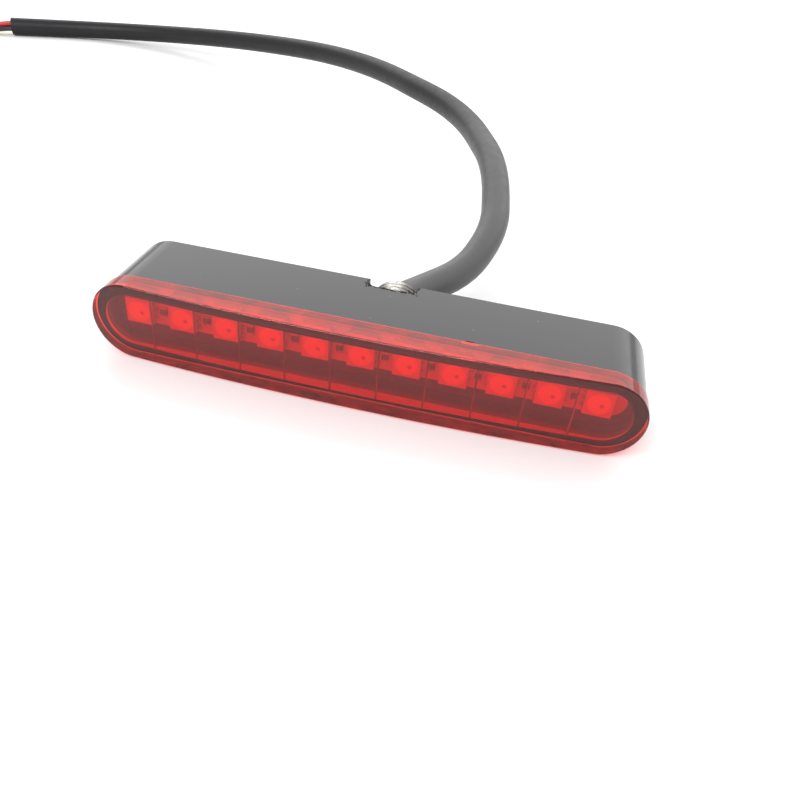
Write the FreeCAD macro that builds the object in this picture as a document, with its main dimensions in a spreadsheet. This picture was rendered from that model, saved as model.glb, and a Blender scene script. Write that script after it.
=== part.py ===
import FreeCAD, Part
import math
import os
import re

import Sketcher
from FreeCAD import Placement, Rotation, Vector

# Slim LED tail light: a hollow red lens on a black housing, with an LED strip potted inside
# and a cable that leaves through a hollow threaded stud.
# Frame, in millimetres: origin on the stud's axis where it leaves the housing's flat back.
# +X runs along the lamp, +Y points backwards out of the stud, -Y is the lit side, +Z is up.

SIZES = {
    "face_length": 100.0,        # lens, end to end
    "face_height": 15.0,
    "rim_proud": 0.25,           # how far the lens stands out past the housing, all round
    "housing_depth": 15.9,
    "housing_wall": 2.2,
    "back_wall": 3.5,
    "back_edge_radius": 0.6,
    "stud_offset": 1.6,          # the stud sits this far from the middle of the lamp
    "lens_depth": 5.55,          # at the middle
    "lens_sag": 2.1,             # how much less deep it is at the ends
    "lens_plate": 2.0,
    "lens_wall": 2.4,
    "lens_edge_radius": 0.35,
    "lens_groove": 0.24,         # side of the square bar that cuts the grooves between the LEDs
    "joint_inset": 1.1,          # lens joint's mid line, in from the housing's outline
    "joint_width": 0.8,
    "joint_depth": 0.8,
    "tongue_width": 0.7,
    "tongue_depth": 0.4,
    "notch_width": 9.2,
    "notch_depth": 3.1,
    "notch_floor": 2.6,          # height of the notch's floor above the stud's axis
    "notch_steps": 9,            # short straights that make the notch's ragged front edge
    "notch_ripple": 0.35,        # how far they wander in and out
    "notch_corner": 0.9,         # how far the front edge comes back at the notch's corners
    "mark_offset": 18.4,         # small nick at the joint, from the middle of the lamp
    "mark_radius": 1.96,
    "mark_depth": 0.7,
    "mark_height": 1.2,          # how far it reaches down from the lens's top
    "rib_count": 4,
    "rib_span": 76.0,
    "rib_width": 1.2,
    "rib_height": 5.0,
    "led_count": 11,
    "led_pitch": 8.42,
    "led_size": 5.0,
    "led_height": 1.6,
    "led_setback": 0.8,          # LED faces behind the lens joint
    "led_row_height": 0.3,       # LED row above the lamp's mid line
    "led_row_left": 0.35,        # and its middle to the left of the lamp's
    "window_radius": 2.05,
    "window_floor_radius": 1.75,
    "window_depth": 0.9,
    "die_size": 0.42,
    "die_height": 0.18,
    "die_pitch": 0.95,
    "die_shift": 0.3,
    "lead_width": 0.9,
    "lead_pitch": 1.6,
    "lead_thick": 0.15,
    "lead_reach": 0.4,
    "lead_rise": 0.8,
    "pad_thick": 0.05,
    "pad_length": 0.6,
    "pad_width": 1.1,
    "chip_length": 2.0,
    "chip_width": 1.25,
    "chip_height": 0.5,
    "cap_length": 0.4,
    "board_height": 6.0,
    "board_thick": 1.0,
    "board_left": 45.7,          # square end, from the middle of the lamp
    "board_right": 46.6,         # round end
    "diode_length": 4.3,
    "diode_width": 2.6,
    "diode_height": 2.1,
    "diode_place": -24.0,
    "diode_pitch": 6.4,
    "dropper_length": 6.3,
    "dropper_width": 3.2,
    "dropper_height": 0.7,
    "dropper_place": 24.0,
    "stud_radius": 5.0,
    "stud_bore": 3.5,
    "stud_length": 5.5,
    "stud_chamfer": 0.5,
    "shoulder_radius": 5.4,
    "shoulder_gap": 0.05,
    "head_length": 14.0,
    "head_height": 9.8,
    "head_thick": 1.5,
    "cable_radius": 3.15,
    "jacket_bore": 2.25,
    "jacket_tail": 0.8,          # jacket left showing behind the stud's head
    "core_radius": 0.92,
    "core_bore": 0.5,
    "strand_radius": 0.46,
    "core_spread": 1.1,          # cores' distance from the cable's middle
    "first_bend_reach": 1.8,     # how far before its corner the cable starts to bend
    "wire_tail": 22.0,           # wires beyond the bend at the jacket's free end
    "wire_fan": 15.0,            # degrees between neighbouring wires
    "wire_bend": 14.0,
    "wire_drop": 0.9,            # share of a wire's way down to rest level that its straight takes
    "strip_length": 5.0,         # tinned strand beyond each wire's insulation
    "solder_radius": 0.8,
    "solder_top_radius": 0.48,
    "solder_height": 0.9,
    "core_gap": 0.3,             # bare strand between a solder joint and the insulation
}

# Corners of the cable's run beyond the stud, each rounded with an arc: a short bend to the right,
# a rising loop, then a long sweep to the left that comes down to the level of the lamp's underside.
CABLE_CORNERS = [
    Vector(0.0, 6.5, 0.0),
    Vector(3.4, 10.9, 0.3),
    Vector(11.4, 17.6, 2.9),
    Vector(15.4, 29.9, 7.8),
    Vector(12.0, 51.9, 13.7),
    Vector(-1.9, 88.9, 13.8),
    Vector(-45.4, 141.8, 10.4),
    Vector(-97.3, 173.7, 3.0),
    Vector(-155.6, 189.3, -4.35),
    Vector(-198.4, 169.3, -4.35),
]
WIRES = ("wire_ground", "wire_tail", "wire_brake")

doc = FreeCAD.newDocument("tail_light")
sheet = doc.addObject("Spreadsheet::Sheet", "sizes")
pieces = {}


def fill_sheet():
    for row, (alias, value) in enumerate(SIZES.items(), start=1):
        sheet.set(f"A{row}", alias)
        sheet.set(f"B{row}", str(value))
        sheet.setAlias(f"B{row}", alias)
    doc.recompute()


def size(formula):
    """The value of a formula in the sheet's aliases."""
    names = {alias: float(sheet.get(alias)) for alias in SIZES if alias in formula}
    for alias in sorted(names, key=len, reverse=True):
        formula = re.sub(rf"\b{alias}\b", repr(names[alias]), formula)
    return FreeCAD.Units.Quantity(formula).Value


def bind(target, prop, formula):
    """Binds a property to a formula in the sheet's aliases."""
    bound = re.sub(r"[a-z_]+", lambda w: f"sizes.{w[0]}" if w[0] in SIZES else w[0], str(formula))
    target.setExpression(prop, bound)


def place(target, x="0", y="0", z="0", turn=None):
    """Puts an object at a bound place, with a fixed turn given as (axis, degrees)."""
    if turn:
        target.Placement = Placement(Vector(), Rotation(Vector(*turn[0]), turn[1]))
    for axis, formula in zip("xyz", (x, y, z)):
        bind(target, f"Placement.Base.{axis}", formula)
    return target


def keep(name, target):
    """Marks an object as one piece of the lamp, under the name its file gets."""
    target.Label = name
    pieces[name] = target
    return target


ALONG_Y = ((1, 0, 0), -90)       # turns an upright cylinder or cone to point along +Y
MIDDLE = "-stud_offset"          # x of the lamp's middle
JOINT = "-housing_depth"         # y of the plane where lens and housing meet
LED_FACE = "-housing_depth + led_setback"
BOARD_FRONT = LED_FACE + " + led_height"
BOARD_BACK = BOARD_FRONT + " + board_thick"
STUD_HEAD = "-back_wall - head_thick"
JACKET_START = STUD_HEAD + " - jacket_tail"
FIRST_CORE = BOARD_BACK + " + solder_height + core_gap"
STUD_WHOLE = "stud_length + back_wall + head_thick"
FIRST_LED = "-stud_offset - led_row_left - (led_count - 1) * led_pitch / 2"
BOW = "(face_length ^ 2 / 4 + lens_sag ^ 2) / (2 * lens_sag)"     # radius of the lens's front


# ---- builders ---------------------------------------------------------------------------

def solid(kind, name, x="0", y="0", z="0", turn=None, **sizes):
    """A Part primitive with bound sizes and place."""
    made = doc.addObject(f"Part::{kind}", name)
    for prop, formula in sizes.items():
        bind(made, prop, formula)
    return place(made, x, y, z, turn)


def feature(body, kind, name, x="0", y="0", z="0", turn=None, **sizes):
    """A PartDesign primitive in a body, with bound sizes and place."""
    made = body.newObject(f"PartDesign::{kind}", name)
    for prop, formula in sizes.items():
        bind(made, prop, formula)
    return place(made, x, y, z, turn)


def combine(kind, name, base, tool):
    made = doc.addObject(f"Part::{kind}", name)
    made.Base = base
    made.Tool = tool
    return made


def new_body(name, x="0", y="0", z="0"):
    body = doc.addObject("PartDesign::Body", name)
    body.AllowCompound = True
    return place(body, x, y, z)


def origin_part(body, role):
    return next(part for part in body.Origin.OriginFeatures if part.Role == role)


def sketch_on(body, name, role, offset="0"):
    """A sketch on one of the body's origin planes, moved along that plane's normal."""
    sketch = body.newObject("Sketcher::SketchObject", name)
    sketch.AttachmentSupport = [(origin_part(body, role), "")]
    sketch.MapMode = "FlatFace"
    bind(sketch, "AttachmentOffset.Base.z", offset)
    return sketch


def draw_stadium(sketch, length, height):
    """A round-ended outline about the sketch's origin, its length and height bound to the sheet."""
    radius = size(f"({height}) / 2")
    half = size(f"({length}) / 2") - radius
    top = sketch.addGeometry(Part.LineSegment(Vector(-half, radius, 0), Vector(half, radius, 0)))
    bottom = sketch.addGeometry(Part.LineSegment(Vector(half, -radius, 0), Vector(-half, -radius, 0)))
    ends = []
    for middle, start in ((half, -0.5), (-half, 0.5)):
        circle = Part.Circle(Vector(middle, 0, 0), Vector(0, 0, 1), radius)
        arc = Part.ArcOfCircle(circle, start * math.pi, (start + 1) * math.pi)
        ends.append(sketch.addGeometry(arc))
    right, left = ends
    for constraint in (
        ("Tangent", top, 2, right, 2),
        ("Tangent", bottom, 1, right, 1),
        ("Tangent", bottom, 2, left, 2),
        ("Tangent", top, 1, left, 1),
        ("Horizontal", top),
        ("PointOnObject", right, 3, -1),
        ("Symmetric", left, 3, right, 3, -1, 1),
    ):
        sketch.addConstraint(Sketcher.Constraint(*constraint))
    end_radius = sketch.addConstraint(Sketcher.Constraint("Radius", right, radius))
    straight = sketch.addConstraint(Sketcher.Constraint("DistanceX", left, 3, right, 3, 2 * half))
    bind(sketch, f"Constraints[{end_radius}]", f"({height}) / 2")
    bind(sketch, f"Constraints[{straight}]", f"({length}) - ({height})")


def stadium_block(name, length, height, start, depth):
    """A round-ended block about the lamp's middle, from y = start, depth thick towards +Y."""
    outline = doc.addObject("Sketcher::SketchObject", name + "_outline")
    draw_stadium(outline, length, height)
    place(outline, MIDDLE, start, turn=((1, 0, 0), 90))
    block = doc.addObject("Part::Extrusion", name)
    block.Base = outline
    block.DirMode = "Custom"
    block.Dir = Vector(0, 1, 0)
    block.Solid = True
    bind(block, "LengthFwd", depth)
    return block


def ring_block(name, width, start, depth):
    """A closed ring along the lens joint's mid line."""
    inset = "rim_proud + joint_inset"
    outer, inner = (
        stadium_block(
            f"{name}_{side}",
            f"face_length - 2 * ({inset}) {sign} {width}",
            f"face_height - 2 * ({inset}) {sign} {width}",
            start,
            depth,
        )
        for side, sign in (("outer", "+"), ("inner", "-"))
    )
    return combine("Cut", name, outer, inner)


def pad(body, sketch, name, length):
    made = body.newObject("PartDesign::Pad", name)
    made.Profile = sketch
    bind(made, "Length", length)
    return made


def pocket(body, sketch, name, length):
    made = body.newObject("PartDesign::Pocket", name)
    made.Profile = sketch
    bind(made, "Length", length)
    return made


def repeat(body, name, first, second=None, only=None):
    """Repeats the body's shape, or only one feature, along X, and along Z when second is given.

    Each of first and second is (spacing, count)."""
    pattern = body.newObject("PartDesign::LinearPattern", name)
    if only:
        pattern.Originals = [only]
    else:
        pattern.TransformMode = "Whole shape"
    spacing, count = first
    pattern.Direction = (origin_part(body, "X_Axis"), [""])
    bind(pattern, "Length", f"{spacing} * ({count} - 1)")
    bind(pattern, "Occurrences", count)
    if second:
        spacing, count = second
        pattern.Direction2 = (origin_part(body, "Z_Axis"), [""])
        bind(pattern, "Length2", f"{spacing} * ({count} - 1)")
        bind(pattern, "Occurrences2", count)
    body.Tip = pattern
    return pattern


# ---- housing ----------------------------------------------------------------------------

def ragged_outline(sketch):
    """The notch's outline seen from above: straight sides and a ragged front edge."""
    half = size("notch_width / 2")
    depth = size("notch_depth")
    ripple = size("notch_ripple")
    corner = size("notch_corner")
    steps = int(size("notch_steps"))
    past_back = 1.0
    uneven = 2.3
    squareness = 6
    across = [half - 2 * half * i / steps for i in range(steps + 1)]
    front = [
        -depth + ripple * math.sin(uneven * i) ** 2 + corner * abs(x / half) ** squareness
        for i, x in enumerate(across)
    ]
    corners = [(-half, past_back), (half, past_back)] + list(zip(across, front))
    points = [Vector(x, y, 0) for x, y in corners]
    for start, end in zip(points, points[1:] + points[:1]):
        sketch.addGeometry(Part.LineSegment(start, end))


def make_housing():
    body = new_body("housing", MIDDLE)
    outline = sketch_on(body, "housing_outline", "XZ_Plane")
    draw_stadium(outline, "face_length - 2 * rim_proud", "face_height - 2 * rim_proud")
    shell = pad(body, outline, "housing_block", "housing_depth")
    doc.recompute()
    back_edges = [
        f"Edge{i}" for i, edge in enumerate(shell.Shape.Edges, start=1)
        if edge.BoundBox.YMin > -0.01
    ]
    rounding = body.newObject("PartDesign::Fillet", "back_edge")
    rounding.Base = (shell, back_edges)
    bind(rounding, "Radius", "back_edge_radius")

    cavity = sketch_on(body, "cavity_outline", "XZ_Plane", "housing_depth")
    inset = "2 * (rim_proud + housing_wall)"
    draw_stadium(cavity, f"face_length - {inset}", f"face_height - {inset}")
    pocket(body, cavity, "cavity", "housing_depth - back_wall")

    groove = sketch_on(body, "joint_outline", "XZ_Plane", "housing_depth")
    inset = "2 * (rim_proud + joint_inset)"
    for sign in "+-":
        draw_stadium(
            groove,
            f"face_length - {inset} {sign} joint_width",
            f"face_height - {inset} {sign} joint_width",
        )
    pocket(body, groove, "joint_groove", "joint_depth")

    rib = feature(
        body, "AdditiveBox", "rib",
        "-(rib_span + rib_width) / 2", BOARD_BACK, "led_row_height - rib_height / 2",
        Length="rib_width", Width=f"-back_wall - ({BOARD_BACK})", Height="rib_height",
    )
    repeat(body, "ribs", ("rib_span / (rib_count - 1)", "rib_count"), only=rib)
    feature(
        body, "SubtractiveCylinder", "stud_hole", "stud_offset", "-housing_depth / 2", "0", ALONG_Y,
        Radius="shoulder_radius + shoulder_gap", Height="housing_depth",
    )
    notch = sketch_on(body, "notch_outline", "XY_Plane", "face_height / 2")
    bind(notch, "AttachmentOffset.Base.x", "stud_offset")
    ragged_outline(notch)
    pocket(body, notch, "notch", "face_height / 2 - notch_floor")
    feature(
        body, "SubtractiveCylinder", "joint_mark",
        "mark_offset", "-housing_depth - mark_radius + mark_depth", "face_height / 2 - mark_height",
        Radius="mark_radius", Height="2 * mark_height",
    )
    keep("housing", body)


# ---- lens and its joint -----------------------------------------------------------------

def bowed_block(name, inset, bow_radius):
    """A round-ended block whose front is a slice of a large upright cylinder."""
    block = stadium_block(
        name + "_block",
        f"face_length - 2 * {inset}",
        f"face_height - 2 * {inset}",
        f"{JOINT} - lens_depth",
        "lens_depth",
    )
    bow = solid(
        "Cylinder", name + "_bow", MIDDLE, f"{JOINT} - lens_depth + {BOW}", "-face_height",
        Radius=bow_radius, Height="2 * face_height",
    )
    return combine("Common", name, block, bow)


def lens_grooves():
    """One upright bar at the middle of each gap between LEDs, its edge in the lens's inner face."""
    bars = []
    for i in range(int(SIZES["led_count"]) - 1):
        x = f"({i + 0.5} - (led_count - 1) / 2) * led_pitch - led_row_left"
        inner = f"sqrt(({BOW} - lens_plate) ^ 2 - ({x}) ^ 2)"
        bars.append(solid(
            "Box", f"groove_{i + 1}",
            f"-stud_offset + {x}",
            f"{JOINT} - lens_depth + {BOW} - {inner} - lens_groove / sqrt(2)",
            "lens_wall - face_height / 2",
            turn=((0, 0, 1), 45),
            Length="lens_groove", Width="lens_groove", Height="face_height - 2 * lens_wall",
        ))
    group = doc.addObject("Part::Compound", "groove_bars")
    group.Links = bars
    return group


def make_lens():
    outer = bowed_block("lens_outer", "0", BOW)
    doc.recompute()
    front_edges = [
        i for i, edge in enumerate(outer.Shape.Edges, start=1)
        if edge.BoundBox.YMax < size(JOINT) - 0.5 * size("lens_depth")
    ]
    radius = size("lens_edge_radius")
    rounded = doc.addObject("Part::Fillet", "lens_rounded")
    rounded.Base = outer
    rounded.Edges = [(i, radius, radius) for i in front_edges]
    inner = bowed_block("lens_inner", "lens_wall", f"{BOW} - lens_plate")
    hollow = combine("Cut", "lens_hollow", rounded, inner)
    grooved = combine("Cut", "lens_grooved", hollow, lens_grooves())
    tongue = ring_block("lens_tongue", "tongue_width", JOINT, "tongue_depth")
    keep("lens", combine("Fuse", "lens_whole", grooved, tongue))
    seal_start = f"{JOINT} + tongue_depth"
    keep("lens_seal", ring_block("seal_bead", "joint_width", seal_start, "joint_depth - tongue_depth"))


# ---- LED board --------------------------------------------------------------------------

def make_board():
    body = new_body("led_board", MIDDLE, BOARD_BACK, "led_row_height")
    outline = sketch_on(body, "board_outline", "XZ_Plane")
    left = -size("board_left")
    radius = size("board_height / 2")
    right = size("board_right") - radius
    top = outline.addGeometry(Part.LineSegment(Vector(left, radius, 0), Vector(right, radius, 0)))
    bottom = outline.addGeometry(Part.LineSegment(Vector(left, -radius, 0), Vector(right, -radius, 0)))
    end = outline.addGeometry(Part.LineSegment(Vector(left, radius, 0), Vector(left, -radius, 0)))
    circle = Part.Circle(Vector(right, 0, 0), Vector(0, 0, 1), radius)
    arc = outline.addGeometry(Part.ArcOfCircle(circle, -math.pi / 2, math.pi / 2))
    for constraint in (
        ("Tangent", top, 2, arc, 2),
        ("Tangent", bottom, 2, arc, 1),
        ("Coincident", top, 1, end, 1),
        ("Coincident", bottom, 1, end, 2),
        ("Horizontal", top),
        ("Vertical", end),
        ("PointOnObject", arc, 3, -1),
    ):
        outline.addConstraint(Sketcher.Constraint(*constraint))
    for constraint, formula in (
        (("Radius", arc, radius), "board_height / 2"),
        (("DistanceX", end, 1, -1, 1, -left), "board_left"),
        (("DistanceX", -1, 1, arc, 3, right), "board_right - board_height / 2"),
    ):
        index = outline.addConstraint(Sketcher.Constraint(*constraint))
        bind(outline, f"Constraints[{index}]", formula)
    pad(body, outline, "board_plate", "board_thick")
    keep("led_board", body)


def make_leds():
    """Packages, windows, dies and leads of the LED row. Each body starts at the first LED's face."""
    along_row = ("led_pitch", "led_count")
    start = (FIRST_LED, LED_FACE, "led_row_height")

    body = new_body("led_packages", *start)
    feature(
        body, "AdditiveBox", "case", "-led_size / 2", "0", "-led_size / 2",
        Length="led_size", Width="led_height", Height="led_size",
    )
    cup = dict(Radius1="window_radius", Radius2="window_floor_radius", Height="window_depth")
    feature(body, "SubtractiveCone", "cup", turn=ALONG_Y, **cup)
    repeat(body, "case_row", along_row)
    keep("led_packages", body)

    die = dict(Length="die_size", Width="die_height", Height="die_size")
    die_x = "die_shift - die_size / 2"
    die_y = "window_depth - die_height"
    die_places = [f"{k} * die_pitch - die_size / 2" for k in (-1, 0, 1)]

    body = new_body("led_windows", *start)
    feature(body, "AdditiveCone", "fill", turn=ALONG_Y, **cup)
    for k, z in enumerate(die_places, start=1):
        feature(body, "SubtractiveBox", f"die_seat_{k}", die_x, die_y, z, **die)
    repeat(body, "window_row", along_row)
    keep("led_windows", body)

    body = new_body("led_dies", *start)
    feature(body, "AdditiveBox", "die", die_x, die_y, die_places[0], **die)
    repeat(body, "die_grid", along_row, ("die_pitch", "3"))
    keep("led_dies", body)

    foot_y = "led_height - pad_thick - lead_thick"
    first_z = "-lead_pitch - lead_width / 2"
    body = new_body("led_leads", *start)
    for side, foot_x, riser_x in (
        ("left", "-led_size / 2 - lead_reach", "-led_size / 2 - lead_thick"),
        ("right", "led_size / 2", "led_size / 2"),
    ):
        feature(
            body, "AdditiveBox", f"{side}_foot", foot_x, foot_y, first_z,
            Length="lead_reach", Width="lead_thick", Height="lead_width",
        )
        feature(
            body, "AdditiveBox", f"{side}_riser", riser_x, f"{foot_y} - lead_rise", first_z,
            Length="lead_thick", Width="lead_rise + lead_thick", Height="lead_width",
        )
    repeat(body, "lead_grid", along_row, ("lead_pitch", "3"))
    keep("led_leads", body)

    body = new_body("led_pads", *start)
    for side, x in (("left", "-led_size / 2 - pad_length"), ("right", "led_size / 2")):
        feature(
            body, "AdditiveBox", f"{side}_pad", x, "led_height - pad_thick", "-lead_pitch - pad_width / 2",
            Length="pad_length", Width="pad_thick", Height="pad_width",
        )
    repeat(body, "pad_grid", along_row, ("lead_pitch", "3"))
    keep("led_pads", body)


def make_resistors():
    """One chip resistor upright in each gap between LEDs, with its two end caps."""
    gaps = ("led_pitch", "led_count - 1")
    start = (f"{FIRST_LED} + led_pitch / 2", f"{BOARD_FRONT} - chip_height", "led_row_height")
    body = new_body("resistors", *start)
    feature(
        body, "AdditiveBox", "chip", "-chip_width / 2", "0", "cap_length - chip_length / 2",
        Length="chip_width", Width="chip_height", Height="chip_length - 2 * cap_length",
    )
    repeat(body, "chip_row", gaps)
    keep("resistors", body)

    body = new_body("resistor_caps", *start)
    feature(
        body, "AdditiveBox", "cap", "-chip_width / 2", "0", "-chip_length / 2",
        Length="chip_width", Width="chip_height", Height="cap_length",
    )
    repeat(body, "cap_grid", gaps, ("chip_length - cap_length", "2"))
    keep("resistor_caps", body)


def make_back_parts():
    """The two feed diodes and the dimming resistor behind the board."""
    body = new_body("feed_diodes", "-stud_offset + diode_place", BOARD_BACK, "led_row_height")
    feature(
        body, "AdditiveBox", "diode", "-diode_length / 2", "0", "-diode_width / 2",
        Length="diode_length", Width="diode_height", Height="diode_width",
    )
    repeat(body, "diode_row", ("diode_pitch", "2"))
    keep("feed_diodes", body)
    keep("dimming_resistor", solid(
        "Box", "dropper",
        "-stud_offset + dropper_place - dropper_length / 2",
        BOARD_BACK,
        "led_row_height - dropper_width / 2",
        Length="dropper_length", Width="dropper_height", Height="dropper_width",
    ))


# ---- stud -------------------------------------------------------------------------------

def make_stud():
    body = new_body("hollow_stud")
    feature(
        body, "AdditiveCylinder", "shank", "0", STUD_HEAD, "0", ALONG_Y,
        Radius="stud_radius", Height=STUD_WHOLE,
    )
    feature(
        body, "AdditiveCylinder", "shoulder", "0", "-back_wall", "0", ALONG_Y,
        Radius="shoulder_radius", Height="back_wall",
    )
    feature(
        body, "AdditiveBox", "head", "-head_length / 2", STUD_HEAD, "-head_height / 2",
        Length="head_length", Width="head_thick", Height="head_height",
    )
    drilled = feature(
        body, "SubtractiveCylinder", "bore", "0", STUD_HEAD, "0", ALONG_Y,
        Radius="stud_bore", Height=STUD_WHOLE,
    )
    doc.recompute()
    mouth = size("stud_length")
    rims = [
        f"Edge{i}" for i, edge in enumerate(drilled.Shape.Edges, start=1)
        if edge.BoundBox.YMin > mouth - 0.01
    ]
    chamfer = body.newObject("PartDesign::Chamfer", "mouth_chamfer")
    chamfer.Base = (drilled, rims)
    bind(chamfer, "Size", "stud_chamfer")
    keep("hollow_stud", body)


# ---- cable ------------------------------------------------------------------------------

def rounded_run(corners):
    """A run of straights and arcs that rounds each corner as widely as its neighbours allow.

    Each step is ("line", vector) or ("arc", centre, axis, degrees)."""
    sides = [end - start for start, end in zip(corners, corners[1:])]
    last = len(sides) - 1
    room = [side.Length * (1.0 if i == last else 0.5) for i, side in enumerate(sides)]
    room[0] = size("first_bend_reach")
    steps = []
    used = 0.0
    for i in range(last):
        reach = min(room[i], room[i + 1])
        turn = sides[i].getAngle(sides[i + 1])
        way_in = Vector(sides[i]).normalize()
        axis = sides[i].cross(sides[i + 1]).normalize()
        inward = axis.cross(way_in)
        start = corners[i + 1] - way_in * reach
        radius = reach / math.tan(turn / 2)
        straight = sides[i].Length - used - reach
        if straight > 0.001:
            steps.append(("line", way_in * straight))
        steps.append(("arc", start + inward * radius, axis, math.degrees(turn)))
        used = reach
    steps.append(("line", Vector(sides[last]).normalize() * (sides[last].Length - used)))
    return steps


def sweep_along(face, steps):
    """The solid that a flat face sweeps along a run, as one piece."""
    lengths = []
    for step in steps:
        if step[0] == "line":
            lengths.append(face.extrude(step[1]))
            face = face.translated(step[1])
        else:
            lengths.append(face.revolve(*step[1:]))
            face = face.rotated(*step[1:])
    return lengths[0].fuse(lengths[1:]).removeSplitter()


def round_face(middle, radius, bore=None):
    """A disc or ring square to +Y."""
    wires = [
        Part.Wire([Part.Circle(middle, Vector(0, 1, 0), r).toShape()])
        for r in (radius, bore) if r
    ]
    return Part.makeFace(wires, "Part::FaceMakerBullseye")


def lay(name, face, steps):
    """A piece of the cable, as a document object."""
    piece = doc.addObject("Part::Feature", name)
    piece.Shape = sweep_along(face, steps)
    return piece


def core_place(index):
    """Where a core lies in the cable's cross-section: the three touch the corners of a triangle."""
    angle = 2 * math.pi * (7 / 12 - index / 3)
    spread = size("core_spread")
    return spread * math.cos(angle), spread * math.sin(angle)


def fan_out(index, tail):
    """The bend and straight that a core ends in, sideways by its place and down to rest level."""
    way = (CABLE_CORNERS[-1] - CABLE_CORNERS[-2]).normalize()
    level = way.cross(Vector(0, 0, 1))
    across, up = core_place(index)
    height = CABLE_CORNERS[-1].z + up - size("core_radius - face_height / 2")
    drop = math.asin(size("wire_drop") * height / size("wire_tail"))
    sideways = math.radians(size("wire_fan")) * (index - 1)
    target = way + level * math.tan(sideways) - Vector(0, 0, 1) * math.tan(drop)
    axis = way.cross(target).normalize()
    start = CABLE_CORNERS[-1] + level * across + Vector(0, 0, 1) * up
    inward = axis.cross(way)
    turn = way.getAngle(target)
    return [
        ("arc", start + inward * size("wire_bend"), axis, math.degrees(turn)),
        ("line", target.normalize() * tail),
    ]


def make_cable():
    start = Vector(0, size(JACKET_START), 0)
    run = rounded_run([start] + CABLE_CORNERS)
    jacket = round_face(start, size("cable_radius"), size("jacket_bore"))
    keep("cable_jacket", lay("jacket", jacket, run))

    strands = []
    blobs = []
    board = size(BOARD_BACK)
    first_core = size(FIRST_CORE)
    tail = size("wire_tail")
    for index, name in enumerate(WIRES):
        across, up = core_place(index)
        core_start = Vector(across, first_core, up)
        lead_in = [("line", Vector(0, start.y - first_core, 0))]
        cover = round_face(core_start, size("core_radius"), size("core_bore"))
        keep(name, lay(name, cover, lead_in + run + fan_out(index, tail)))

        strand_start = Vector(across, board, up)
        lead_in = [("line", Vector(0, start.y - board, 0))]
        strand = round_face(strand_start, size("strand_radius"))
        strands.append(lay(
            name + "_strand", strand, lead_in + run + fan_out(index, tail + size("strip_length"))
        ))
        blob = solid(
            "Cone", name + "_blob", across, BOARD_BACK, up, ALONG_Y,
            Radius1="solder_radius", Radius2="solder_top_radius", Height="solder_height",
        )
        core_hole = solid(
            "Cylinder", name + "_hole", across, BOARD_BACK, up, ALONG_Y,
            Radius="strand_radius", Height="solder_height",
        )
        blobs.append(combine("Cut", name + "_solder", blob, core_hole))
    for name, group in (("wire_strands", strands), ("solder_joints", blobs)):
        together = doc.addObject("Part::Compound", name)
        together.Links = group
        keep(name, together)


# ---- potting ----------------------------------------------------------------------------

def make_potting():
    """Black resin that fills the housing behind the LED faces, round everything it holds."""
    inset = "2 * (rim_proud + housing_wall)"
    filled = stadium_block(
        "resin_fill",
        f"face_length - {inset}",
        f"face_height - {inset}",
        BOARD_FRONT,
        f"-back_wall - ({BOARD_FRONT})",
    )
    bore_space = solid(
        "Cylinder", "stud_bore_space", "0", STUD_HEAD, "0", ALONG_Y,
        Radius="stud_bore", Height=STUD_WHOLE,
    )
    neighbours = ("housing", "led_board", "feed_diodes", "dimming_resistor", "hollow_stud")
    held = [pieces[name] for name in neighbours]
    held.append(bore_space)
    held.append(solid(
        "Cylinder", "jacket_space", "0", JACKET_START, "0", ALONG_Y,
        Radius="cable_radius", Height=f"{STUD_HEAD} - ({JACKET_START})",
    ))
    for index in range(len(WIRES)):
        across, up = core_place(index)
        for kind, start, length, sizes in (
            ("Cylinder", f"{BOARD_BACK} + solder_height", "core_gap", dict(Radius="strand_radius")),
            ("Cylinder", FIRST_CORE, f"{JACKET_START} - ({FIRST_CORE})", dict(Radius="core_radius")),
            ("Cone", BOARD_BACK, "solder_height",
             dict(Radius1="solder_radius", Radius2="solder_top_radius")),
        ):
            held.append(solid(kind, f"core_{index + 1}_space", across, start, up, ALONG_Y,
                              Height=length, **sizes))
    for count, tool in enumerate(held, start=1):
        filled = combine("Cut", f"resin_cut_{count}", filled, tool)
    keep("potting_compound", filled)


# ---- check and write --------------------------------------------------------------------

def check_and_write():
    doc.recompute()
    failed = [o.Label for o in doc.Objects if "Invalid" in o.State or "Error" in o.State]
    if failed:
        raise SystemExit(f"these objects failed: {failed}")
    for name, piece in pieces.items():
        if piece.Shape.isNull() or not piece.Shape.isValid():
            raise SystemExit(f"{name} has no valid shape")
    os.makedirs("parts", exist_ok=True)
    for name, piece in pieces.items():
        piece.Shape.exportStep(f"parts/{name}.step")
        box = piece.Shape.BoundBox
        print(
            f"{name:18} {len(piece.Shape.Solids):3} solids {piece.Shape.Volume:10.2f} mm3  "
            f"x {box.XMin:8.2f} {box.XMax:8.2f}  y {box.YMin:8.2f} {box.YMax:8.2f}  "
            f"z {box.ZMin:7.2f} {box.ZMax:7.2f}"
        )


fill_sheet()
make_housing()
make_lens()
make_board()
make_leds()
make_resistors()
make_back_parts()
make_stud()
make_cable()
make_potting()
check_and_write()
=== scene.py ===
import math

import bmesh
import bpy
from mathutils import Matrix, Vector


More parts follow.
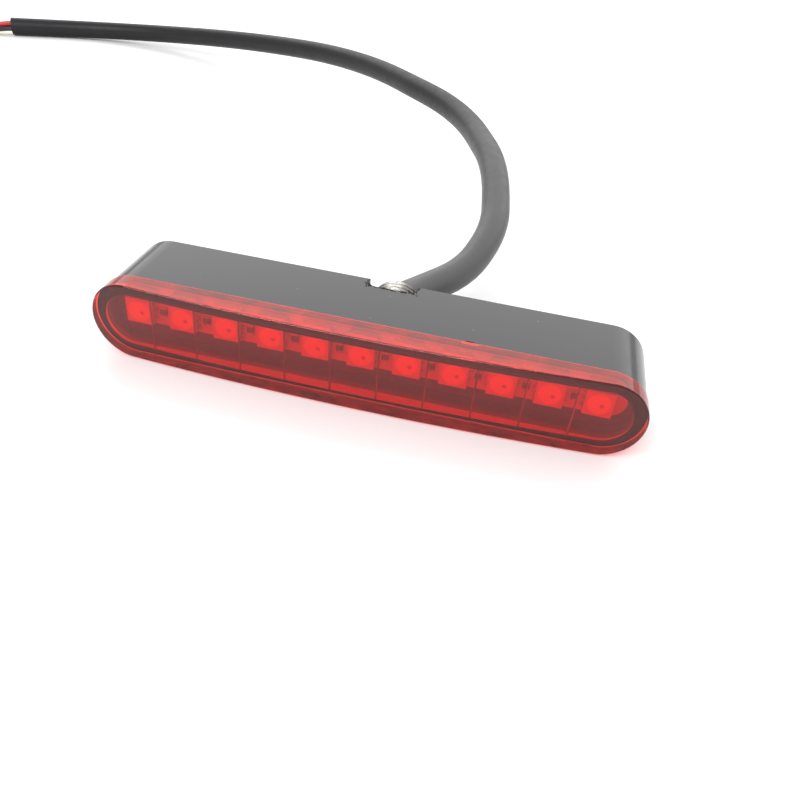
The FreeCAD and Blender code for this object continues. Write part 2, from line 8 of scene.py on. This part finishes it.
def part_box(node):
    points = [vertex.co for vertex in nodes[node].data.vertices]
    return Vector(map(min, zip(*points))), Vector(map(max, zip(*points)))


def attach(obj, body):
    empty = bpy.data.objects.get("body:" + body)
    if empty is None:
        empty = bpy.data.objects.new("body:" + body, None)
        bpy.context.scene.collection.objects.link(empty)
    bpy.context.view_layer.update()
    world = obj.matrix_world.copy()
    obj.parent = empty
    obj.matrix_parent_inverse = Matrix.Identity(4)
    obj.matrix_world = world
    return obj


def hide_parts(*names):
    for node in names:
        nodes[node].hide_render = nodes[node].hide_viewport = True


# Looks of the slim LED tail light, in metres, in the CAD part's frame: origin on the stud's axis
# at the housing's flat back, +X along the lamp, +Y out of the stud, -Y the lit side, +Z up.

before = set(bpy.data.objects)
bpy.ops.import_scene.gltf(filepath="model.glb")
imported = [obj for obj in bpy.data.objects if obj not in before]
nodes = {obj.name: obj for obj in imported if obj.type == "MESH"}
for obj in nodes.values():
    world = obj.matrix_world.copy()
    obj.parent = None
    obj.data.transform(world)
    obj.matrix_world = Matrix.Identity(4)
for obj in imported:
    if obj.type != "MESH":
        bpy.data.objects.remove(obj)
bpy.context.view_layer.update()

MM = 0.001


def box_mm(node):
    """The lowest and the highest corner of a CAD node, in millimetres."""
    low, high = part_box(node)
    return low / MM, high / MM


# Sizes and places in millimetres, along the part's axes.
lens_low, lens_high = box_mm("lens")
LENS_RADIUS = (lens_high.z - lens_low.z) / 2
LAMP_MIDDLE = (lens_low.x + lens_high.x) / 2
STRAIGHT_HALF = (lens_high.x - lens_low.x) / 2 - LENS_RADIUS     # of the part between the round ends

LED_COUNT = 11
window_low, window_high = box_mm("led_windows")
WINDOW_SIZE = window_high.z - window_low.z
MIDDLE_LED = (window_low.x + window_high.x) / 2
LED_PITCH = (window_high.x - window_low.x - WINDOW_SIZE) / (LED_COUNT - 1)
SPOT_ASIDE = 0.55                # of the dark spot from the middle of its window

NOTCH_HALF = 4.6                 # half the width of the notch around the stud
NOTCH_DEPTH = 3.1                # from the housing's back
NOTCH_FLOOR = 2.6                # above the stud's axis
NOTCH_RAGGED = 0.45              # how far its rough edge wanders

STUD_BORE = 3.5                  # radii of the hollow stud
STUD_LIP = 4.45
BORE_LIP = 4.0
THREAD_CREST = 4.97
THREAD_ROOT = 4.32
THREAD_PITCH = 1.25
HEAD_HALF = (7.0, 4.9)           # half the head's width and height
HEAD_START = -5.0                # where the head, the thread and its chamfer start, and where the stud ends
THREAD_START = -3.5
THREAD_END = 5.0
STUD_END = 5.5

AIR_GAP = 0.2                    # between the lamp's underside and the floor
FLOOR_Z = (lens_low.z - AIR_GAP) * MM
LENS_HAZE = 0.04                 # share of light that the clear plastic scatters


# ---- node helper ------------------------------------------------------------------------

class Shader:
    """A material's node tree, with short calls to add nodes and link them."""

    def __init__(self, name):
        self.material = bpy.data.materials.new(name)
        self.material.use_nodes = True
        self.tree = self.material.node_tree
        self.tree.nodes.clear()
        self.place = self.add("TexCoord").outputs["Object"]

    def add(self, kind, inputs=None, **settings):
        """A new node. Each input is a number, a colour or a socket to link."""
        node = self.tree.nodes.new("ShaderNode" + kind)
        for key, value in settings.items():
            setattr(node, key, value)
        for key, value in (inputs or {}).items():
            if isinstance(value, bpy.types.NodeSocket):
                self.tree.links.new(value, node.inputs[key])
            else:
                node.inputs[key].default_value = value
        return node

    def calc(self, operation, *values):
        """The result of one operation. Each value is a number or a socket."""
        return self.add("Math", dict(enumerate(values)), operation=operation).outputs[0]

    def parts(self, vector):
        """The X, Y and Z of a vector."""
        return tuple(self.add("SeparateXYZ", {0: vector}).outputs)

    def length(self, first, second):
        """The length of a flat vector."""
        flat = self.add("CombineXYZ", {0: first, 1: second}).outputs[0]
        return self.add("VectorMath", {0: flat}, operation="LENGTH").outputs["Value"]

    def noise(self, size_mm, detail=3.0, stretch=(1, 1, 1), roughness=0.55):
        """Noise with features of about size_mm, stretched along the axes."""
        scale = tuple(1 / (size_mm * MM * s) for s in stretch)
        place = self.add("Mapping", {"Vector": self.place, "Scale": scale})
        return self.add("TexNoise", {
            "Vector": place.outputs[0], "Scale": 1.0, "Detail": detail, "Roughness": roughness,
        }).outputs["Fac"]

    def spread(self, value, low, high, start=0.3, end=0.7):
        """Maps a value from start..end onto low..high."""
        return self.add("MapRange", {
            "Value": value, "From Min": start, "From Max": end, "To Min": low, "To Max": high,
        }).outputs[0]

    def mix(self, factor, first, second):
        """Mixes two colours."""
        node = self.add("Mix", data_type="RGBA")
        for socket, value in ((node.inputs[0], factor), (node.inputs[6], first), (node.inputs[7], second)):
            if isinstance(value, bpy.types.NodeSocket):
                self.tree.links.new(value, socket)
            else:
                socket.default_value = value
        return node.outputs[2]

    def bump(self, height, depth_mm, normal=None):
        """The normal, roughened by a height field."""
        inputs = {"Height": height, "Distance": depth_mm * MM, "Strength": 1.0}
        if normal:
            inputs["Normal"] = normal
        return self.add("Bump", inputs).outputs[0]

    def rounded(self, radius_mm):
        """The normal with sharp edges eased over a small radius."""
        return self.add("Bevel", {"Radius": radius_mm * MM}, samples=6).outputs[0]

    def specks(self, spacing_mm, share):
        """1 on small scattered specks, 0 elsewhere."""
        scale = 1 / (spacing_mm * MM)
        cells = self.add("TexVoronoi", {"Vector": self.place, "Scale": scale})
        return self.calc("LESS_THAN", cells.outputs["Distance"], share)

    def finish(self, shader):
        out = self.add("OutputMaterial")
        self.tree.links.new(shader, out.inputs["Surface"])
        return self.material

    def principled(self, **inputs):
        named = {key.replace("_", " "): value for key, value in inputs.items()}
        return self.add("BsdfPrincipled", named).outputs[0]


def rgb(red, green, blue):
    return (red, green, blue, 1.0)


def darker(colour, share):
    """The colour at a share of its brightness."""
    return rgb(*(c * share for c in colour[:3]))


# ---- materials --------------------------------------------------------------------------

def notch_edge(s):
    """Mask of the rough cut edge around the housing's notch, above the notch's floor."""
    x, y, z = s.parts(s.place)
    beside = s.calc("SUBTRACT", s.calc("ABSOLUTE", x), NOTCH_HALF * MM)
    before = s.calc("SUBTRACT", -NOTCH_DEPTH * MM, y)
    ragged = s.spread(s.noise(0.8, 4), -NOTCH_RAGGED * MM, NOTCH_RAGGED * MM)
    away = s.calc("ADD", s.calc("MAXIMUM", beside, before), ragged)
    cut = s.spread(away, 1.0, 0.0, 0.15 * MM, 0.40 * MM)
    above = s.spread(z, 0.0, 1.0, (NOTCH_FLOOR - 0.3) * MM, NOTCH_FLOOR * MM)
    return s.calc("MULTIPLY", cut, above)


def housing_plastic():
    """Black moulded plastic: faint flow marks, eased edges, a little dust, a rough edge at the notch."""
    s = Shader("black_housing")
    body = s.mix(s.noise(9, stretch=(3, 1, 1)), rgb(0.017, 0.017, 0.019), rgb(0.020, 0.020, 0.022))
    dusty = s.mix(s.specks(2.9, 0.022), body, rgb(0.5, 0.5, 0.5))
    edge = notch_edge(s)
    chips = s.mix(s.specks(0.45, 0.16), rgb(0.012, 0.011, 0.010), rgb(0.75, 0.74, 0.70))
    base = s.mix(edge, dusty, chips)
    rough = s.spread(s.noise(2.5), 0.136, 0.192)
    shine = s.spread(edge, 0.5, 0.04, 0.0, 1.0)
    normal = s.bump(s.noise(1.2, 2), 0.0035, s.rounded(0.12))
    return s.finish(s.principled(
        Base_Color=base, Roughness=rough, Specular_IOR_Level=shine, Normal=normal
    ))


def matt_plastic(name, colour, roughness, grain_mm=0.12, depth_mm=0.006):
    """Moulded or printed surface with a fine grain."""
    s = Shader(name)
    base = s.mix(s.noise(1.5), darker(colour, 0.86), colour)
    rough = s.spread(s.noise(0.6), roughness * 0.85, roughness * 1.15)
    normal = s.bump(s.noise(grain_mm, 2), depth_mm, s.rounded(0.05))
    return s.finish(s.principled(Base_Color=base, Roughness=rough, Normal=normal))


def metal(name, colour, roughness, scratch=(1, 6, 1)):
    """Plated or tinned metal with fine scratches along one way."""
    s = Shader(name)
    stain = s.noise(1.3, 4)
    base = s.mix(s.spread(stain, 0, 1), darker(colour, 0.7), colour)
    rough = s.spread(s.noise(0.25, 2, scratch), roughness * 0.7, roughness * 1.4)
    normal = s.bump(s.noise(0.12, 2, scratch), 0.006)
    return s.finish(s.principled(Base_Color=base, Metallic=1.0, Roughness=rough, Normal=normal))


def lens_masks(s):
    """Masks of the lens: its outer side wall, and the walls of the grooves in its straight part."""
    x, _, z = s.parts(s.place)
    sideways, forward, _ = s.parts(s.add("NewGeometry").outputs["True Normal"])
    reach = s.calc("ABSOLUTE", s.calc("ADD", x, -LAMP_MIDDLE * MM))
    beyond = s.calc("MAXIMUM", s.calc("SUBTRACT", reach, STRAIGHT_HALF * MM), 0.0)
    radius = s.length(beyond, z)
    outer = s.spread(radius, 0.0, 1.0, (LENS_RADIUS - 0.6) * MM, (LENS_RADIUS - 0.3) * MM)
    wall = s.calc("MULTIPLY", outer, s.spread(s.calc("ABSOLUTE", forward), 1.0, 0.0, 0.1, 0.4))
    straight = s.spread(reach, 1.0, 0.0, (STRAIGHT_HALF - 0.4) * MM, STRAIGHT_HALF * MM)
    groove = s.calc("MULTIPLY", straight, s.spread(s.calc("ABSOLUTE", sideways), 0.0, 0.75, 0.2, 0.4))
    return wall, groove


def red_lens():
    """Clear red acrylic, a little hazy, with a frosted side wall.

    Shadow and diffuse rays pass it as a plain red filter, so that what it covers is lit.
    """
    s = Shader("red_lens")
    tint = s.mix(s.noise(14), rgb(0.86, 0.036, 0.028), rgb(0.90, 0.050, 0.036))
    normal = s.bump(s.noise(6, 1), 0.0015)
    rough = s.spread(s.noise(3), 0.01, 0.035)
    clear = s.principled(
        Base_Color=tint, Roughness=rough, IOR=1.49, Transmission_Weight=1.0, Normal=normal
    )
    wall, groove = lens_masks(s)
    frosting = s.mix(s.noise(5), rgb(0.72, 0.07, 0.06), rgb(0.88, 0.13, 0.09))
    grain = s.add("BsdfDiffuse", {"Color": frosting}).outputs[0]
    frosted = s.spread(s.noise(3.5, 4), 0.02, 0.32)
    mottle = s.calc("MULTIPLY_ADD", wall, frosted, LENS_HAZE)
    clear = s.add("MixShader", {0: mottle, 1: clear, 2: grain}).outputs[0]
    # Painted shade: the groove walls get a dark matt red instead of clear plastic.
    shaded_groove_wall = s.add("BsdfDiffuse", {"Color": rgb(0.16, 0.015, 0.012)}).outputs[0]
    clear = s.add("MixShader", {0: groove, 1: clear, 2: shaded_groove_wall}).outputs[0]
    filter_red = s.add("BsdfTransparent", {"Color": rgb(0.92, 0.17, 0.14)}).outputs[0]
    path = s.add("LightPath").outputs
    unseen = s.calc("MAXIMUM", path["Is Shadow Ray"], path["Is Diffuse Ray"])
    return s.finish(s.add("MixShader", {0: unseen, 1: clear, 2: filter_red}).outputs[0])


def thread_metal():
    """Plated thread with fine cutting marks: the plated colour on the crests, painted shade darkening the
    roots.
    """
    s = Shader("stud_metal")
    x, _, z = s.parts(s.place)
    height = s.spread(s.length(x, z), 0.0, 1.0, THREAD_ROOT * MM, THREAD_CREST * MM)
    # Painted shade: the colour turns near black down in the thread's roots.
    unshaded = s.spread(s.calc("ADD", height, s.spread(s.noise(0.7, 4), -0.25, 0.25)), 0, 1, 0.1, 0.9)
    base = s.mix(unshaded, rgb(0.03, 0.027, 0.024), rgb(0.36, 0.345, 0.325))
    rough = s.spread(s.noise(0.2, 2), 0.25, 0.5)
    normal = s.bump(s.noise(0.1, 2, (1, 4, 1)), 0.008)
    return s.finish(s.principled(Base_Color=base, Metallic=1.0, Roughness=rough, Normal=normal))


def gel(name, colour, shadow):
    """Phosphor-filled silicone in an LED's cup, with the chips showing as a dark spot beside the middle."""
    s = Shader(name)
    x, _, z = s.parts(s.place)
    turns = s.calc("MULTIPLY_ADD", x, 1 / (LED_PITCH * MM), 0.5 - MIDDLE_LED / LED_PITCH)
    across = s.calc("MULTIPLY_ADD", s.calc("SUBTRACT", s.calc("FRACT", turns), 0.5), LED_PITCH, -SPOT_ASIDE)
    distance = s.length(across, s.calc("MULTIPLY", z, 1 / MM))
    body = s.mix(s.noise(0.5), darker(colour, 0.9), colour)
    base = s.mix(s.spread(distance, 0.8, 0.0, 0.2, 0.55), body, shadow)
    normal = s.bump(s.noise(0.8, 1), 0.01)
    return s.finish(s.principled(Base_Color=base, Roughness=0.12, Normal=normal))


def cable_plastic():
    """Black PVC with a soft sheen and a fine uneven surface; painted light makes it lighter and glossier
    near the lamp.
    """
    s = Shader("cable_black")
    _, outward, _ = s.parts(s.place)
    # Painted light: the jacket's colour is lighter and its specular level higher towards the lamp, and
    # darker further out.
    painted_light_near_lamp = s.spread(outward, 1.0, 0.0, 5 * MM, 90 * MM)
    jacket_black = s.mix(s.noise(7, 4), rgb(0.010, 0.010, 0.011), rgb(0.018, 0.018, 0.020))
    colour = s.mix(painted_light_near_lamp, jacket_black, rgb(0.105, 0.105, 0.106))
    rough = s.spread(s.noise(1.8, 4), 0.36, 0.48)
    normal = s.bump(s.noise(0.5, 3), 0.004)
    sheen = s.spread(painted_light_near_lamp, 0.22, 0.55, 0.0, 1.0)
    return s.finish(s.principled(
        Base_Color=colour, Roughness=rough, Specular_IOR_Level=sheen, Normal=normal
    ))


def paint(names, material):
    """Gives CAD nodes a material of their own."""
    for name in names:
        piece = nodes[name]
        piece.data.materials.clear()
        piece.data.materials.append(material)


def paint_all():
    paint(["housing"], housing_plastic())
    paint(["lens"], red_lens())
    paint(["lens_seal"], matt_plastic("seal", rgb(0.04, 0.04, 0.04), 0.6))
    paint(["led_board"], matt_plastic("board", rgb(0.68, 0.67, 0.64), 0.4))
    paint(["led_packages"], matt_plastic("led_case", rgb(0.70, 0.69, 0.66), 0.35))
    paint(["led_windows"], gel("led_window", rgb(0.95, 0.80, 0.35), rgb(0.35, 0.14, 0.06)))
    paint(["led_dies"], matt_plastic("led_die", rgb(0.10, 0.08, 0.08), 0.3))
    paint(["led_leads", "resistor_caps", "wire_strands", "solder_joints"],
          metal("tinned_metal", rgb(0.72, 0.72, 0.71), 0.3))
    paint(["led_pads"], metal("pads", rgb(0.72, 0.68, 0.56), 0.35))
    paint(["resistors", "dimming_resistor"], matt_plastic("chip", rgb(0.09, 0.09, 0.09), 0.35))
    paint(["feed_diodes"], matt_plastic("diode_case", rgb(0.03, 0.03, 0.03), 0.5))
    paint(["cable_jacket"], cable_plastic())
    paint(["wire_ground"], matt_plastic("wire_black", rgb(0.02, 0.02, 0.02), 0.35))
    paint(["wire_tail"], matt_plastic("wire_red", rgb(0.55, 0.02, 0.02), 0.35))
    paint(["wire_brake"], matt_plastic("wire_yellow", rgb(0.75, 0.52, 0.03), 0.35))
    paint(["potting_compound"], matt_plastic("resin", rgb(0.045, 0.045, 0.047), 0.3, 0.6))


# ---- pieces -----------------------------------------------------------------------------

def thread_radius(y, angle):
    """Radius of the stud's helical thread, in millimetres. It fades out at both ends."""
    phase = (y / THREAD_PITCH + angle / (2 * math.pi)) % 1.0
    ramp = abs(2 * phase - 1)
    root_flat, flank = 0.12, 0.76
    run_in, run_out, past_end = 0.5, 0.6, 0.4
    profile = min(1.0, max(0.0, (ramp - root_flat) / flank))
    fade = min(1.0, (y - THREAD_START) / run_in, (THREAD_END + past_end - y) / run_out)
    return THREAD_ROOT + (THREAD_CREST - THREAD_ROOT) * profile * max(0.0, fade)


def plate_radius(angle):
    """Distance from the axis to the edge of the stud's rectangular head."""
    across, upward = max(abs(math.cos(angle)), 1e-6), max(abs(math.sin(angle)), 1e-6)
    return min(HEAD_HALF[0] / across, HEAD_HALF[1] / upward)


def make_stud():
    """The hollow stud with a real thread, lofted as one closed ring of sections."""
    around, along = 120, 100
    angles = [2 * math.pi * j / around for j in range(around)]
    sections = [
        [(STUD_BORE, HEAD_START)] * around,
        [(plate_radius(a), HEAD_START) for a in angles],
        [(plate_radius(a), THREAD_START) for a in angles],
    ]
    for i in range(along + 1):
        y = THREAD_START + (THREAD_END - THREAD_START) * i / along
        sections.append([(thread_radius(y, a), y) for a in angles])
    for r, y in ((STUD_LIP, STUD_END), (BORE_LIP, STUD_END), (STUD_BORE, THREAD_END)):
        sections.append([(r, y)] * around)
    points = [
        (r * math.cos(a) * MM, y * MM, r * math.sin(a) * MM)
        for section in sections for (r, y), a in zip(section, angles)
    ]
    count = len(sections)
    faces = []
    for i in range(count):
        for j in range(around):
            k = (j + 1) % around
            n = (i + 1) % count
            faces.append((i * around + j, i * around + k, n * around + k, n * around + j))
    mesh = bpy.data.meshes.new("threaded_stud")
    mesh.from_pydata(points, [], faces)
    unshaded = bmesh.new()
    unshaded.from_mesh(mesh)
    bmesh.ops.recalc_face_normals(unshaded, faces=unshaded.faces)
    unshaded.to_mesh(mesh)
    unshaded.free()
    mesh.shade_smooth()
    mesh.set_sharp_from_angle(angle=math.radians(40))
    stud = bpy.data.objects.new("threaded_stud", mesh)
    bpy.context.scene.collection.objects.link(stud)
    mesh.materials.append(thread_metal())
    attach(stud, "root")
    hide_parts("hollow_stud")


# ---- stage ------------------------------------------------------------------------------

def make_floor():
    """A wide pale floor."""
    half = 3.0
    mesh = bpy.data.meshes.new("floor")
    corners = [(-half, -half), (half, -half), (half, half), (-half, half)]
    mesh.from_pydata([(x, y, FLOOR_Z) for x, y in corners], [], [(0, 1, 2, 3)])
    floor = bpy.data.objects.new("floor", mesh)
    bpy.context.scene.collection.objects.link(floor)
    s = Shader("floor_paper")
    colour = s.mix(s.noise(120), rgb(0.88, 0.88, 0.88), rgb(0.9, 0.9, 0.9))
    mesh.materials.append(s.finish(s.principled(Base_Color=colour, Roughness=0.8)))


def softbox(name, centre, size, radiance, target=(0, 0, 0)):
    """A rectangular lamp of even radiance that faces the target. Sizes in metres."""
    light = bpy.data.lights.new(name, "AREA")
    light.shape = "RECTANGLE"
    light.size, light.size_y = size
    light.energy = radiance * math.pi * size[0] * size[1]
    lamp = bpy.data.objects.new(name, light)
    bpy.context.scene.collection.objects.link(lamp)
    lamp.location = centre
    lamp.rotation_mode = "QUATERNION"
    lamp.rotation_quaternion = (Vector(target) - Vector(centre)).to_track_quat("-Z", "Y")
    lamp.visible_camera = False


def make_light():
    """An even white room with a large lamp behind and a smaller one in front."""
    world = bpy.data.worlds.new("studio")
    world.use_nodes = True
    world.node_tree.nodes["Background"].inputs["Color"].default_value = rgb(1, 1, 1)
    world.node_tree.nodes["Background"].inputs["Strength"].default_value = 0.8
    bpy.context.scene.world = world
    softbox("back_box", (0.05, 0.75, 0.60), (2.2, 0.9), 1.38)
    softbox("front_box", (-0.35, -0.8, 0.9), (1.0, 0.7), 5.0)


def make_camera():
    """The camera, placed by its viewing angle, roll and the object point at the frame's middle."""
    azimuth, elevation, roll = (math.radians(a) for a in (8.808, 37.596, 6.457))
    distance = 132.934 * MM
    across, above = 7.511 * MM, -6.718 * MM
    target = Vector((-1.6, -15.9, 0)) * MM
    back = Vector((
        math.sin(azimuth) * math.cos(elevation),
        -math.cos(azimuth) * math.cos(elevation),
        math.sin(elevation),
    ))
    level_right = (-back).cross(Vector((0, 0, 1))).normalized()
    level_up = level_right.cross(-back)
    right = math.cos(roll) * level_right + math.sin(roll) * level_up
    up = math.cos(roll) * level_up - math.sin(roll) * level_right
    data = bpy.data.cameras.new("camera")
    data.sensor_width = 36
    data.lens = 33.70
    data.clip_start = 0.005
    data.clip_end = 20
    camera = bpy.data.objects.new("camera", data)
    bpy.context.scene.collection.objects.link(camera)
    turn = Matrix((right, up, back)).transposed()
    place = target + back * distance + level_right * across + level_up * above
    camera.matrix_world = Matrix.Translation(place) @ turn.to_4x4()
    bpy.context.scene.camera = camera


paint_all()
make_stud()
make_floor()
make_light()
make_camera()
bpy.context.scene.view_settings.view_transform = "Standard"
